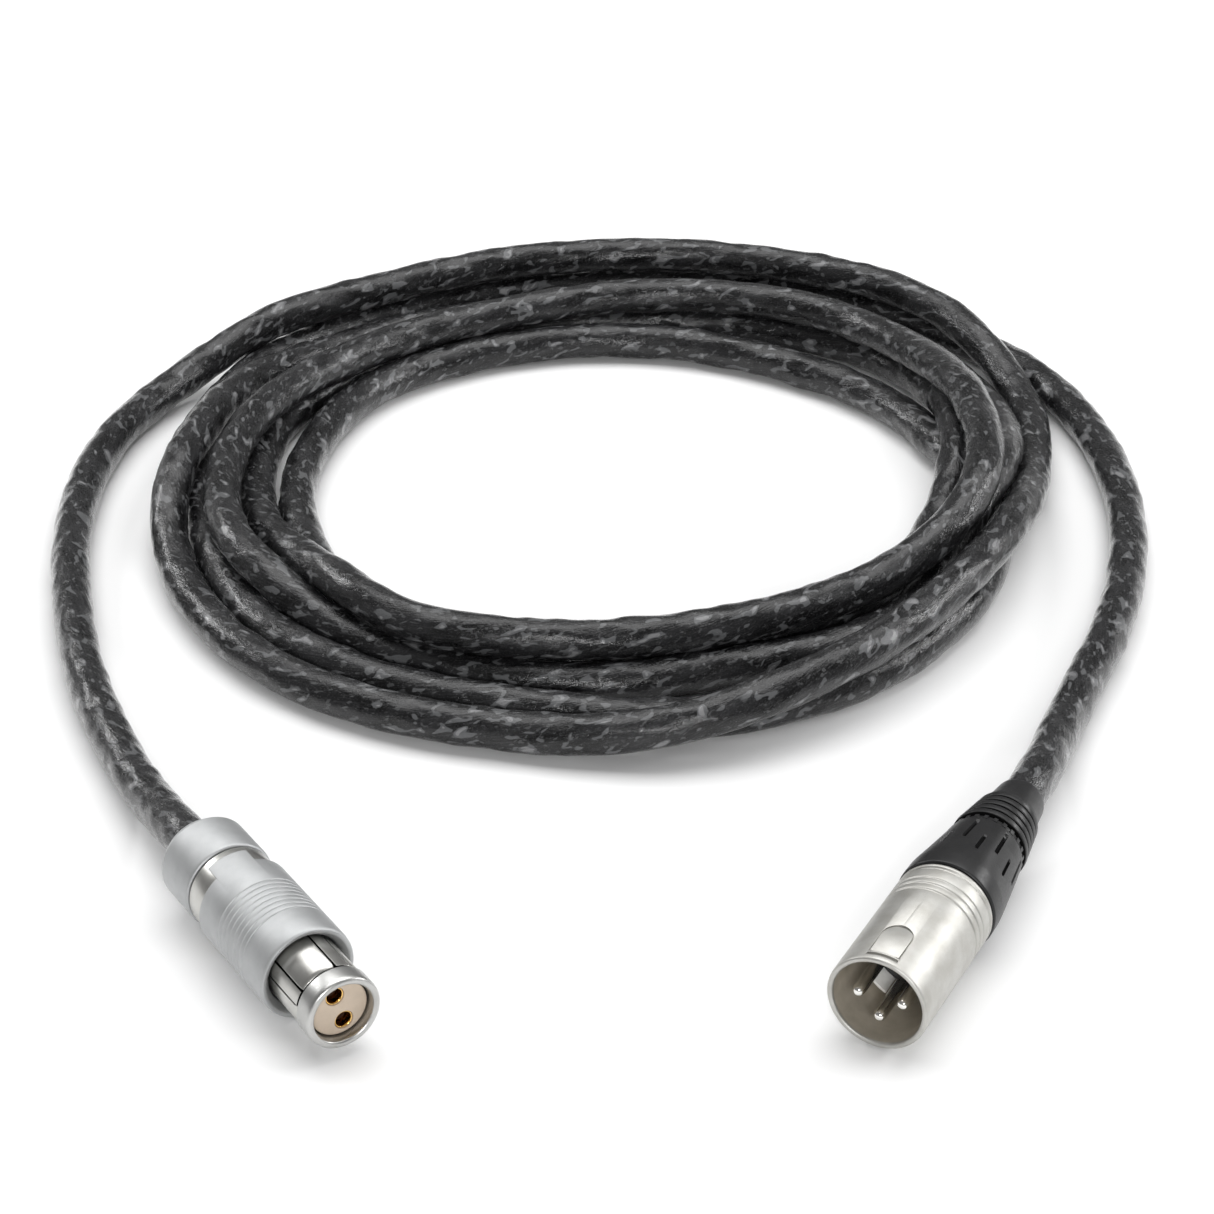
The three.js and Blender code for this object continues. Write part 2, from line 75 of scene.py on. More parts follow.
# ---------------------------------------------------------------- cable
CABLE_D = 0.0088
ROUTE = """
-68.9,-25.4,9.3 -85.1,-14.6,6.8 -100.3,-3.3,4.7 -114.7,8.4,4.4 -128.6,21.0,4.4 -141.5,34.8,4.4
-153.5,49.4,4.4 -164.8,64.7,4.4 -175.2,81.4,4.4 -184.5,101.1,4.4 -190.7,123.6,4.4 -191.1,144.6,5.6
-186.9,160.8,9.3 -180.7,174.9,12.8 -173.0,190.4,13.4 -164.0,206.8,13.3 -153.5,222.6,13.3 -140.8,236.6,13.4
-125.7,248.0,13.4 -109.0,256.9,13.4 -90.9,262.7,13.3 -72.1,265.4,13.3 -53.4,264.8,13.3 -36.5,259.8,12.8
-22.6,252.1,11.1 -11.4,243.8,7.9 -1.5,233.5,5.0 7.4,217.8,4.4 15.0,196.4,5.8 21.3,171.8,10.5
23.7,147.9,13.2 22.9,127.1,13.3 20.0,108.2,13.3 14.8,90.2,12.9 6.3,73.4,11.7 -5.8,59.4,9.1
-21.7,50.2,6.1 -39.5,44.7,4.5 -58.1,40.4,4.4 -78.0,39.4,4.4 -99.1,43.5,4.4 -119.3,53.1,4.4
-135.3,65.5,4.5 -146.5,77.3,6.5 -153.8,88.6,10.1 -158.8,101.3,12.8 -163.5,116.2,13.2 -168.2,133.4,11.7
-170.9,152.8,8.7 -169.1,173.1,5.7 -162.4,191.6,4.4 -151.7,207.5,4.4 -138.5,221.4,4.4 -123.6,233.2,4.4
-107.3,243.0,4.4 -89.8,250.3,4.4 -71.1,253.7,4.4 -52.1,252.7,4.4 -34.1,246.9,4.4 -18.2,236.8,4.4
-5.5,223.0,5.8 3.6,206.9,9.3 9.9,189.5,12.4 12.7,171.1,12.9 13.6,152.7,9.2 13.8,134.2,5.4
10.7,116.1,4.4 1.8,100.9,4.4 -11.1,87.9,4.4 -25.1,75.0,4.4 -41.3,65.3,4.4 -59.5,60.3,4.4
-78.4,59.5,4.6 -96.6,61.3,7.1 -113.7,66.5,11.4 -129.1,76.3,12.7 -141.3,90.9,12.3 -150.3,107.8,12.1
-155.1,126.1,13.1 -155.6,146.3,13.0 -152.5,166.4,12.1 -146.3,184.9,11.8 -136.4,201.0,11.8 -124.1,215.2,12.3
-110.0,227.3,12.9 -93.4,236.3,13.1 -75.2,241.6,13.2 -56.0,241.4,13.1 -36.7,232.5,14.7 -18.8,216.8,18.6
-4.4,199.9,21.9 5.4,185.1,22.3 11.9,171.3,21.8 14.8,157.1,19.4 13.0,141.7,15.6 7.3,126.0,12.4
-1.1,109.6,11.6 -12.0,93.9,11.9 -25.4,80.3,12.2 -41.1,69.4,12.6 -58.2,62.1,13.2 -75.5,60.3,13.5
-92.2,65.9,13.7 -109.2,75.0,11.4 -125.6,86.6,8.1 -139.1,101.7,5.2 -149.6,118.6,4.4 -156.4,136.6,4.4
-158.3,155.3,4.4 -155.4,174.1,4.4 -148.3,191.8,4.4 -137.6,207.7,4.4 -124.0,221.0,4.4 -108.2,231.6,4.4
-90.7,239.5,4.4 -71.9,244.0,4.4 -52.5,243.7,4.4 -34.6,236.2,5.3 -19.7,221.4,8.7 -8.6,204.7,12.5
-1.6,190.1,12.9 2.7,175.1,9.3 4.9,157.4,5.6 4.0,138.8,4.4 -1.3,120.9,4.4 -10.5,104.4,4.4
-22.2,89.5,4.4 -36.7,77.8,4.4 -53.7,70.6,4.4 -72.1,68.3,4.4 -90.3,71.5,4.4 -106.7,80.4,4.4
-120.7,93.2,4.4 -132.4,108.0,4.4 -140.8,125.0,4.4 -146.0,143.3,4.4 -147.4,162.1,4.4 -143.0,180.1,4.4
-133.5,196.5,4.4 -120.6,210.3,4.4 -104.6,220.4,4.4 -86.6,225.9,4.4 -67.7,226.6,4.4 -48.9,223.9,4.4
-31.1,217.6,4.4 -15.7,207.0,4.4 -1.8,194.0,4.4 9.9,179.0,4.4 18.5,162.1,4.4 22.5,143.7,4.4
22.3,124.7,4.4 18.7,106.1,4.4 11.2,88.8,4.4 -0.3,74.0,4.4 -14.8,62.8,4.4 -32.1,56.1,4.4
-50.4,51.5,4.4 -69.1,48.9,4.4 -87.8,50.4,4.4 -105.9,55.8,4.4 -121.9,65.8,4.4 -135.9,78.7,4.4
-148.3,92.9,4.4 -159.8,108.1,4.4 -169.7,124.4,4.4 -176.7,142.1,4.4 -179.2,160.9,4.4 -176.6,179.8,4.4
-170.0,197.7,4.4 -160.5,214.3,4.4 -148.6,229.2,4.4 -134.5,242.0,4.4 -118.5,252.3,4.4 -101.3,260.2,4.4
-83.1,265.2,4.4 -64.2,266.6,4.4 -45.2,264.6,4.4 -26.6,259.9,4.4 -9.1,252.1,4.4 5.9,240.5,4.4
18.8,226.5,4.4 29.6,210.8,4.4 38.5,194.1,4.4 45.5,176.4,4.4 50.7,158.2,4.4 54.2,139.6,4.4
56.1,120.6,4.4 57.9,101.5,4.7 60.6,83.0,7.1 62.5,64.9,9.7 62.5,60.8,9.7
"""
ctrl = np.array([[float(v) for v in p.split(",")] for p in ROUTE.split()]) * MM


def spline(points, step):
    """natural cubic spline through points, sampled about every step"""
    n = len(points)
    h = np.linalg.norm(np.diff(points, axis=0), axis=1)
    t = np.concatenate([[0.0], np.cumsum(h)])
    A = np.zeros((n, n))
    B = np.zeros((n, 3))
    A[0, 0] = A[-1, -1] = 1.0
    for i in range(1, n - 1):
        A[i, i - 1], A[i, i], A[i, i + 1] = h[i - 1], 2 * (h[i - 1] + h[i]), h[i]
        B[i] = 6 * ((points[i + 1] - points[i]) / h[i] - (points[i] - points[i - 1]) / h[i - 1])
    M = np.linalg.solve(A, B)
    u = np.linspace(0, t[-1], int(t[-1] / step) + 1)
    k = np.clip(np.searchsorted(t, u, side="right") - 1, 0, n - 2)
    a = (t[k + 1] - u)[:, None]
    b = (u - t[k])[:, None]
    hk = h[k][:, None]
    return (M[k] * a ** 3 + M[k + 1] * b ** 3) / (6 * hk) + (points[k] / hk - M[k] * hk / 6) * a + (points[k + 1] / hk - M[k + 1] * hk / 6) * b


ax_plug = np.array([-0.86427, 0.50302, 0.0])
ax_xlr = np.array([0.0, 1.0, 0.0])
ends = np.vstack([ctrl[0] - ax_plug * 0.0012, ctrl[0] + ax_plug * 0.004, ctrl[1:-1], ctrl[-1] - ax_xlr * 0.0012])
route = spline(ends, 0.0012)
route[:, 2] = np.maximum(route[:, 2], CABLE_D / 2 + 0.0001)


def tube(name, path, radius, sides, seed):
    n = len(path)
    tan = np.gradient(path, axis=0)
    tan /= np.linalg.norm(tan, axis=1)[:, None]
    s = np.concatenate([[0.0], np.cumsum(np.linalg.norm(np.diff(path, axis=0), axis=1))])
    nor = np.zeros_like(path)
    v = np.array([0.0, 0.0, 1.0])
    for i in range(n):
        v = v - tan[i] * (v @ tan[i])
        v /= np.linalg.norm(v)
        nor[i] = v
    bi = np.cross(tan, nor)
    th = np.arange(sides) / sides * 2 * math.pi
    S, T = np.meshgrid(s / MM, th, indexing="ij")
    rng = np.random.RandomState(seed)
    lump = np.zeros_like(S)
    # the laid-up cores under the jacket: a slow twist, then small uneven swells and dents
    lump += 0.045 * np.cos(2 * T - S * 2 * math.pi / 46.0)
    for k in range(70):
        order = rng.randint(1, 7)
        wave = 2 * math.pi / rng.uniform(5.0, 26.0)
        ph = rng.uniform(0, 2 * math.pi)
        lump += rng.uniform(0.008, 0.020) * np.cos(order * T * rng.choice([-1, 1]) + wave * S + ph)
    fade = np.clip(np.minimum(S, S[-1, 0] - S) / 6.0, 0, 1)
    rad = (radius / MM + lump * fade) * MM
    pts = path[:, None, :] + rad[..., None] * (np.cos(T)[..., None] * nor[:, None, :] + np.sin(T)[..., None] * bi[:, None, :])
    pts[..., 2] = np.maximum(pts[..., 2], 0.00002)
    verts = pts.reshape(-1, 3)
    idx = np.arange(n * sides).reshape(n, sides)
    a = idx[:-1]
    b = np.roll(idx, -1, axis=1)[:-1]
    c = np.roll(idx, -1, axis=1)[1:]
    d = idx[1:]
    faces = np.stack([a, b, c, d], axis=-1).reshape(-1, 4).tolist()
    faces.append(list(idx[0][::-1]))
    faces.append(list(idx[-1]))
    ob = new_mesh(name, verts, faces, sharp=60)
    at = ob.data.attributes.new("lay", "FLOAT_VECTOR", "POINT")
    tw = T + S * 0.05
    lay = np.stack([radius / MM * np.cos(tw), radius / MM * np.sin(tw), S], axis=-1).reshape(-1)
    at.data.foreach_set("vector", lay)
    return ob


cable = tube("cable", route, CABLE_D / 2 - 0.00008, 36, 11)
put(cable, "lead")
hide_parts("cable_coil", "cable_tail_plug", "cable_tail_xlr")

# ---------------------------------------------------------------- materials
def node(nt, kind, **kw):
    n = nt.nodes.new(kind)
    for k, v in kw.items():
        setattr(n, k, v)
    return n


def base_mat(name, color, rough, metal, coat=0.0, coat_rough=0.03, spec=0.5):
    m = bpy.data.materials.new(name)
    m.use_nodes = True
    b = m.node_tree.nodes["Principled BSDF"]
    b.inputs["Base Color"].default_value = (*color, 1.0)
    b.inputs["Roughness"].default_value = rough
    b.inputs["Metallic"].default_value = metal
    b.inputs["Coat Weight"].default_value = coat
    b.inputs["Coat Roughness"].default_value = coat_rough
    b.inputs["Specular IOR Level"].default_value = spec
    return m, m.node_tree, b


def coords(nt, scale, kind="Object"):
    tc = node(nt, "ShaderNodeTexCoord")
    mp = node(nt, "ShaderNodeMapping")
    mp.inputs["Scale"].default_value = scale
    nt.links.new(tc.outputs[kind], mp.inputs["Vector"])
    return mp.outputs["Vector"]


def noise(nt, vec, scale=1.0, detail=3.0, rough=0.55, distort=0.0):
    n = node(nt, "ShaderNodeTexNoise")
    n.inputs["Scale"].default_value = scale
    n.inputs["Detail"].default_value = detail
    n.inputs["Roughness"].default_value = rough
    n.inputs["Distortion"].default_value = distort
    nt.links.new(vec, n.inputs["Vector"])
    return n.outputs["Fac"]


def remap(nt, fac, a, b, c, d):
    n = node(nt, "ShaderNodeMapRange")
    for i, v in zip(("From Min", "From Max", "To Min", "To Max"), (a, b, c, d)):
        n.inputs[i].default_value = v
    nt.links.new(fac, n.inputs["Value"])
    return n.outputs["Result"]


def mix(nt, fac, c0, c1):
    n = node(nt, "ShaderNodeMix", data_type="RGBA")
    nt.links.new(fac, n.inputs["Factor"])
    for s, c in ((n.inputs[6], c0), (n.inputs[7], c1)):
        if isinstance(c, tuple):
            s.default_value = (*c, 1.0)
        else:
            nt.links.new(c, s)
    return n.outputs[2]


def bump(nt, b, height, dist, strength=1.0, under=None):
    n = node(nt, "ShaderNodeBump")
    n.inputs["Distance"].default_value = dist
    n.inputs["Strength"].default_value = strength
    nt.links.new(height, n.inputs["Height"])
    if under is not None:
        nt.links.new(under, n.inputs["Normal"])
    nt.links.new(n.outputs["Normal"], b.inputs["Normal"])
    return n.outputs["Normal"]


def plated(name, color, dark, rough, spread, grain=0.00001, lines=0.0, line_scale=9000.0, metal=1.0):
    """plated metal: cloudy plating, fine blast grain, optional turning lines round the local Y axis"""
    m, nt, b = base_mat(name, color, rough, metal)
    cloud = noise(nt, coords(nt, (260, 260, 260)), 1.0, 4.0)
    nt.links.new(mix(nt, remap(nt, cloud, 0.35, 0.7, 0, 1), color, dark), b.inputs["Base Color"])
    fine = noise(nt, coords(nt, (9000, 9000, 9000)), 1.0, 2.0)
    nt.links.new(remap(nt, fine, 0.3, 0.7, rough - spread, rough + spread), b.inputs["Roughness"])
    under = bump(nt, b, fine, grain)
    if lines:
        turn = noise(nt, coords(nt, (0.0, line_scale, 0.0)), 1.0, 2.0)
        bump(nt, b, turn, lines, under=under)
    return m


def plastic(name, color, light, rough, grain=0.00002, scale=4000, spec=0.5, coat=0.0):
    m, nt, b = base_mat(name, color, rough, 0.0, coat=coat, coat_rough=0.15, spec=spec)
    cloud = noise(nt, coords(nt, (300, 300, 300)), 1.0, 4.0)
    nt.links.new(mix(nt, remap(nt, cloud, 0.35, 0.7, 0, 1), color, light), b.inputs["Base Color"])
    fine = noise(nt, coords(nt, (scale, scale, scale)), 1.0, 3.0)
    nt.links.new(remap(nt, fine, 0.3, 0.7, rough - 0.06, rough + 0.06), b.inputs["Roughness"])
    bump(nt, b, fine, grain)
    return m


M_NICKEL = plated("m_nickel", (0.55, 0.545, 0.52), (0.46, 0.45, 0.42), 0.48, 0.06, 0.000020)
M_CAVITY = plated("m_cavity", (0.55, 0.50, 0.42), (0.42, 0.38, 0.31), 0.50, 0.04, 0.000008, lines=0.000006, line_scale=2500.0, metal=0.35)
M_MATT = plated("m_matt_chrome", (0.50, 0.508, 0.512), (0.45, 0.458, 0.462), 0.56, 0.04, 0.000010, lines=0.000004)
M_BRIGHT = plated("m_bright_chrome", (0.58, 0.575, 0.55), (0.50, 0.495, 0.47), 0.31, 0.03, 0.000003, lines=0.000005)
M_RING = plated("m_nose_ring", (0.54, 0.54, 0.53), (0.47, 0.47, 0.455), 0.36, 0.04, 0.000006, lines=0.000006)
M_PIN = plated("m_pin", (0.86, 0.85, 0.82), (0.78, 0.76, 0.72), 0.16, 0.03, 0.000003)
M_GOLD = plated("m_gold", (0.93, 0.62, 0.22), (0.82, 0.50, 0.15), 0.16, 0.04, 0.000003)
M_BRASS = plated("m_brass", (0.72, 0.56, 0.28), (0.60, 0.45, 0.22), 0.34, 0.05, 0.000006, lines=0.000004)
M_INSERT = plastic("m_insert", (0.030, 0.030, 0.032), (0.045, 0.045, 0.048), 0.42)
# flat white for the chrome earth spring: painted reflection, standing in for the bright glint off the metal
M_SPRING_REFLECTION = plastic("m_spring_painted_reflection", (0.93, 0.93, 0.91), (0.78, 0.78, 0.76), 0.35, 0.000004, 3000)
# near-black, almost unlit colour for slits, grooves and window floors: painted shade in the recesses
M_SLIT_SHADE = plastic("m_painted_slit_shade", (0.0015, 0.0015, 0.0015), (0.002, 0.002, 0.002), 0.75, 0.000004, 2600, spec=0.08)
M_BOOT = plastic("m_boot", (0.006, 0.006, 0.0065), (0.011, 0.011, 0.0115), 0.38, 0.000014, 2600, spec=0.42)
M_BEIGE = plastic("m_beige", (0.56, 0.46, 0.36), (0.50, 0.41, 0.32), 0.40, 0.000010, 5000)
M_CLAMP = plastic("m_clamp", (0.60, 0.60, 0.57), (0.52, 0.52, 0.49), 0.5)
M_RED = plastic("m_red", (0.42, 0.02, 0.02), (0.34, 0.015, 0.015), 0.4)
M_WHITE = plastic("m_white", (0.75, 0.75, 0.73), (0.68, 0.68, 0.66), 0.4)
M_BLUE = plastic("m_blue", (0.03, 0.08, 0.33), (0.025, 0.06, 0.26), 0.4)
M_BLACK = plastic("m_black", (0.015, 0.015, 0.016), (0.022, 0.022, 0.023), 0.4)
# dark brown for the deep part of the socket bores: painted shade inside the gold tubes
M_BORE_SHADE = plastic("m_painted_bore_shade", (0.10, 0.045, 0.028), (0.07, 0.03, 0.02), 0.5)


def jacket():
    """glossy smoked jacket over a crumpled foil: drawn-out grey blotches on near black, fine lengthwise wrinkles"""
    m, nt, b = base_mat("m_jacket", (0.010, 0.010, 0.011), 0.30, 0.0, coat=1.0, coat_rough=0.11, spec=0.12)
    b.inputs["Coat IOR"].default_value = 1.36
    at = node(nt, "ShaderNodeAttribute", attribute_name="lay", attribute_type="GEOMETRY")

    def along(across, length, shift=(0, 0, 0)):
        mp = node(nt, "ShaderNodeMapping")
        mp.inputs["Scale"].default_value = (across, across, length)
        mp.inputs["Location"].default_value = shift
        nt.links.new(at.outputs["Vector"], mp.inputs["Vector"])
        return mp.outputs["Vector"]

    flakes = noise(nt, along(0.46, 0.25), 1.0, 1.2, 0.45, 0.55)
    small = noise(nt, along(0.95, 0.55, (5, 9, 2)), 1.0, 1.5, 0.5, 0.4)
    broad = noise(nt, along(0.30, 0.085, (13, 7, 3)), 1.0, 2.0, 0.5, 0.3)
    streak = noise(nt, along(2.6, 0.30, (2, 4, 6)), 1.0, 3.0, 0.6, 0.2)
    fine = noise(nt, along(3.4, 2.0, (8, 1, 4)), 1.0, 2.0, 0.6)
    c = mix(nt, remap(nt, broad, 0.38, 0.64, 0, 1), (0.002, 0.002, 0.0022), (0.016, 0.016, 0.017))
    c = mix(nt, remap(nt, streak, 0.52, 0.68, 0, 0.5), c, (0.040, 0.040, 0.042))
    c = mix(nt, remap(nt, small, 0.63, 0.66, 0, 0.8), c, (0.070, 0.071, 0.073))
    c = mix(nt, remap(nt, flakes, 0.60, 0.63, 0, 1), c, (0.095, 0.097, 0.100))
    c = mix(nt, remap(nt, flakes, 0.70, 0.72, 0, 1), c, (0.20, 0.20, 0.205))
    c = mix(nt, remap(nt, fine, 0.57, 0.66, 0, 0.5), c, (0.058, 0.058, 0.060))
    nt.links.new(c, b.inputs["Base Color"])
    nt.links.new(remap(nt, fine, 0.3, 0.7, 0.22, 0.46), b.inputs["Roughness"])
    nt.links.new(remap(nt, fine, 0.3, 0.7, 0.04, 0.12), b.inputs["Coat Roughness"])
    n1 = bump(nt, b, flakes, 0.00030, 0.5)
    n2 = bump(nt, b, streak, 0.00011, 0.8, under=n1)
    n3 = bump(nt, b, fine, 0.00008, 0.9, under=n2)
    nt.links.new(n3, b.inputs["Coat Normal"])
    return m


M_JACKET = jacket()
cable.data.materials.append(M_JACKET)


# ---------------------------------------------------------------- turned pieces
def fillet(prof, rad, closed):
    """rounds each real corner of a profile of (radius, y)"""
    n = len(prof)
    out = []
    for i, p in enumerate(prof):
        if not closed and i in (0, n - 1):
            out.append(p)
            continue
        a, c = np.array(prof[i - 1]), np.array(prof[(i + 1) % n])
        q = np.array(p)
        u, v = a - q, c - q
        lu, lv = np.linalg.norm(u), np.linalg.norm(v)
        u, v = u / lu, v / lv
        turn = math.degrees(math.acos(max(-1.0, min(1.0, float(-(u @ v))))))
        if turn < 20:
            out.append(p)
            continue
        d = min(rad, 0.4 * lu, 0.4 * lv)
        for t in (0.0, 0.33, 0.67, 1.0):
            w = (1 - t) ** 2 * (q + u * d) + 2 * t * (1 - t) * q + t ** 2 * (q + v * d)
            out.append((float(w[0]), float(w[1])))
    return out


def lathe(name, prof, matrix, seg=96, closed=True, rad=0.12, mod=None, sharp=32.0):
    prof = fillet(prof, rad, closed)
    verts, rows = [], []
    for r, y in prof:
        if r < 1e-6:
            rows.append([len(verts)])
            verts.append((0, y * MM, 0))
            continue
        row = []
        for i in range(seg):
            a = 2 * math.pi * i / seg
            rr = mod(r, y, a) if mod else r
            row.append(len(verts))
            verts.append((rr * math.cos(a) * MM, y * MM, rr * math.sin(a) * MM))
        rows.append(row)
    faces = []
    pairs = list(zip(rows, rows[1:]))
    if closed:
        pairs.append((rows[-1], rows[0]))
    for A, B in pairs:
        for i in range(seg):
            j = (i + 1) % seg
            if len(A) == 1 and len(B) == 1:
                break
            if len(A) == 1:
                faces.append((A[0], B[j], B[i]))
            elif len(B) == 1:
                faces.append((A[i], A[j], B[0]))
            else:
                faces.append((A[i], A[j], B[j], B[i]))
    ob = new_mesh(name, verts, faces, matrix, sharp)
    return face_out(ob, sharp)


def face_out(ob, sharp=32.0):
    import bmesh
    bm = bmesh.new()
    bm.from_mesh(ob.data)
    bmesh.ops.recalc_face_normals(bm, faces=bm.faces)
    if bm.calc_volume(signed=True) < 0:
        bmesh.ops.reverse_faces(bm, faces=bm.faces)
    bm.to_mesh(ob.data)
    bm.free()
    ob.data.polygons.foreach_set("use_smooth", [True] * len(ob.data.polygons))
    ob.data.set_sharp_from_angle(angle=R(sharp))
    return ob


def prism(poly, lo, hi, plane, name="tool", matrix=None):
    """closed prism: polygon in two axes, from lo to hi along the third; mm"""
    def at(p, h):
        v = {"xz": (p[0], h, p[1]), "xy": (p[0], p[1], h)}[plane]
        return tuple(c * MM for c in v)
    n = len(poly)
    verts = [at(p, lo) for p in poly] + [at(p, hi) for p in poly]
    faces = [tuple(range(n))[::-1], tuple(range(n, 2 * n))] + [(i, (i + 1) % n, (i + 1) % n + n, i + n) for i in range(n)]
    return face_out(new_mesh(name, verts, faces, matrix))


def sector_poly(r0, r1, mid, half, steps=24):
    a0, a1 = R(mid - half), R(mid + half)
    out = [(r1 * math.cos(a0 + (a1 - a0) * i / steps), r1 * math.sin(a0 + (a1 - a0) * i / steps)) for i in range(steps + 1)]
    inn = [(r0 * math.cos(a0 + (a1 - a0) * i / steps), r0 * math.sin(a0 + (a1 - a0) * i / steps)) for i in range(steps + 1)]
    return out + inn[::-1]


def rod_tool(r, lo, hi, x, z, matrix, seg=40):
    return prism([(x + r * math.cos(2 * math.pi * i / seg), z + r * math.sin(2 * math.pi * i / seg)) for i in range(seg)], lo, hi, "xz", matrix=matrix)


def cut(ob, tools, sharp=32.0, edge=0.0):
    """subtracts the tools, then breaks the new edges a little"""
    bpy.context.scene.collection.objects.link(ob)
    for t in tools:
        bpy.context.scene.collection.objects.link(t)
        md = ob.modifiers.new("cut", "BOOLEAN")
        md.object, md.operation, md.solver = t, "DIFFERENCE", "EXACT"
    if edge:
        md = ob.modifiers.new("edge", "BEVEL")
        md.width, md.segments, md.limit_method, md.angle_limit = edge * MM, 2, "ANGLE", R(50)
    dg = bpy.context.evaluated_depsgraph_get()
    me = bpy.data.meshes.new_from_object(ob.evaluated_get(dg))
    ob.modifiers.clear()
    ob.data = me
    for t in tools:
        bpy.data.objects.remove(t)
    bpy.context.scene.collection.objects.unlink(ob)
    me.polygons.foreach_set("use_smooth", [True] * len(me.polygons))
    me.set_sharp_from_angle(angle=R(sharp))
    return ob


def piece(ob, body, slot, mats, *nodes):
    ob.data.materials.clear()
    for m in mats if isinstance(mats, (list, tuple)) else [mats]:
        ob.data.materials.append(m)
    put(ob, body)
    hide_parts(*nodes)
    return ob


def paint(ob, index, test):
    """faces whose local centre (mm) passes the test take that material"""
    for p in ob.data.polygons:
        c = p.center / MM
        if test(math.hypot(c.x, c.z), c.y, c, p.normal):
            p.material_index = index


XLR = Matrix.Translation(Vector((62.501, -10.221, 9.7)) * MM)
PLUG = Matrix.Translation(Vector((-19.243, -54.283, 9.3)) * MM) @ Matrix.Rotation(R(59.8), 4, "Z")

# ---------------------------------------------------------------- XLR plug
shell = lathe("xlr_shell_look", [
    (8.35, 0.55), (8.5, 0.15), (8.8, 0.0), (9.2, 0.0), (9.45, 0.25), (9.5, 0.8),
    (9.5, 22.9), (9.28, 23.15), (9.28, 23.45), (9.5, 23.7), (9.5, 24.8), (9.28, 25.05), (9.28, 25.35), (9.5, 25.6),
    (9.5, 26.7), (9.32, 26.9), (9.32, 27.1), (9.5, 27.3),
    (9.5, 29.9), (9.05, 30.15), (9.05, 30.75), (9.42, 30.95), (9.46, 31.35), (9.3, 31.8),
    (8.9, 31.8), (8.9, 28.0), (8.35, 27.6)], XLR, 144, rad=0.10)
arch = [(-2.9, 2.35), (2.9, 2.35)] + [(2.9 * math.cos(R(a)), 8.2 + 3.0 * math.sin(R(a))) for a in range(0, 181, 6)]
shell = cut(shell, [
    prism([(-2.9, 1.3), (2.9, 1.3), (2.9, 2.0), (-2.9, 2.0)], 6.5, 11.0, "xy", matrix=XLR),
    prism(arch, 8.86, 11.0, "xy", matrix=XLR),
], edge=0.09)
piece(shell, "lead", "nickel", [M_NICKEL, M_CAVITY], "xlr_shell")
paint(shell, 1, lambda r, y, c, n: r < 8.45 and y > 0.6)
# arched pad behind the slot, standing a little proud of its recess
pad = prism([(x * 0.92, 2.5 + (y - 2.35) * 0.965) for x, y in arch], 8.5, 9.2, "xy", "xlr_pad_look", XLR)
pad = cut(pad, [], edge=0.1)
pad.data.materials.clear(); pad.data.materials.append(M_NICKEL); put(pad, "lead")

insert = lathe("xlr_insert_look", [(0, 15.5), (7.6, 15.5), (8.05, 15.9), (8.05, 27.4), (0, 27.4)], XLR, 96, closed=False, rad=0.2)
PINS = [(-4.2, 0.1), (4.2, 0.1), (0.0, -3.9)]
insert = cut(insert, [rod_tool(1.45, 15.0, 28.0, x, z, XLR) for x, z in PINS] + [prism(sector_poly(6.35, 9.0, -126, 16), 15.0, 22.0, "xz", matrix=XLR)], edge=0.08)
piece(insert, "lead", "black_plastic", M_INSERT, "xlr_insert")
for i, (x, z) in enumerate(PINS):
    pin = lathe("xlr_pin_%d_look" % (i + 1), [
        (0, 1.1), (0.45, 1.15), (0.85, 1.4), (1.1, 1.9), (1.2, 2.6), (1.2, 32.2), (0.85, 32.2), (0.85, 29.6), (0, 29.6)],
        XLR @ Matrix.Translation(Vector((x, 0, z)) * MM), 40, closed=False, rad=0.15, sharp=50)
    piece(pin, "lead", "bright_chrome", M_PIN, "xlr_pin_%d" % (i + 1))
# the chrome earth spring takes the flat white colour: painted reflection
spring = prism(sector_poly(6.75, 7.3, -126, 13), 11.6, 21.6, "xz", "xlr_ground_spring_look", XLR)
spring = cut(spring, [], edge=0.12)
piece(spring, "lead", "bright_chrome", M_SPRING_REFLECTION, "xlr_ground_spring")


# boot: collar, tapered grip with moulded slits, ribs and a plain neck
def boot_mod(r, y, a):
    if 36.5 < y < 51.2 and r > 7.2:
        d = 0.0
        k = round((a - R(8)) / R(22.5))
        off = abs(a - R(8) - k * R(22.5)) * r
        lo, hi = ((42.8, 50.6), (40.0, 45.6))[k % 2]
        if lo < y < hi and off < 0.34:
            d = 0.45 * min(1.0, (y - lo) / 0.6, (hi - y) / 0.6)
        flat = max(0.0, math.cos(3 * (a - R(35)))) ** 2
        return r - d - 0.18 * flat * min(1.0, (y - 36.5) / 4, (50.8 - y) / 3)
    if 51.95 < y < 53.05 and 7.0 < r < 7.2:
        return r + (0.32 if (a * 12 / math.pi) % 1.0 < 0.45 else 0.0)
    return r


body_line = []
for i in range(52):
    y = 36.0 + i * 0.3
    t = (y - 36.0) / 15.3
    body_line.append((9.62 - 1.95 * t ** 1.12, y))
rib = []
for c, r in ((54.35, 7.62), (56.45, 7.32), (58.55, 7.02), (60.65, 6.72), (62.7, 6.42)):
    rib += [(r - 1.0, c - 0.80), (r, c - 0.62), (r, c + 0.62), (r - 1.0, c + 0.80)]
boot = lathe("xlr_boot_look", [(8.35, 32.1), (9.4, 32.1), (9.68, 32.4), (9.68, 33.6)] + body_line + [
    (7.62, 51.6), (7.1, 51.9), (7.1, 53.1), (6.8, 53.3)] + rib + [
    (6.05, 63.75), (5.75, 65.0), (5.3, 67.0), (4.95, 70.4), (4.8, 71.0), (4.5, 71.0), (4.5, 50.9), (6.7, 50.7), (7.25, 48.8), (7.45, 45.0), (8.35, 38.0)], XLR, 360, rad=0.16, mod=boot_mod, sharp=40)
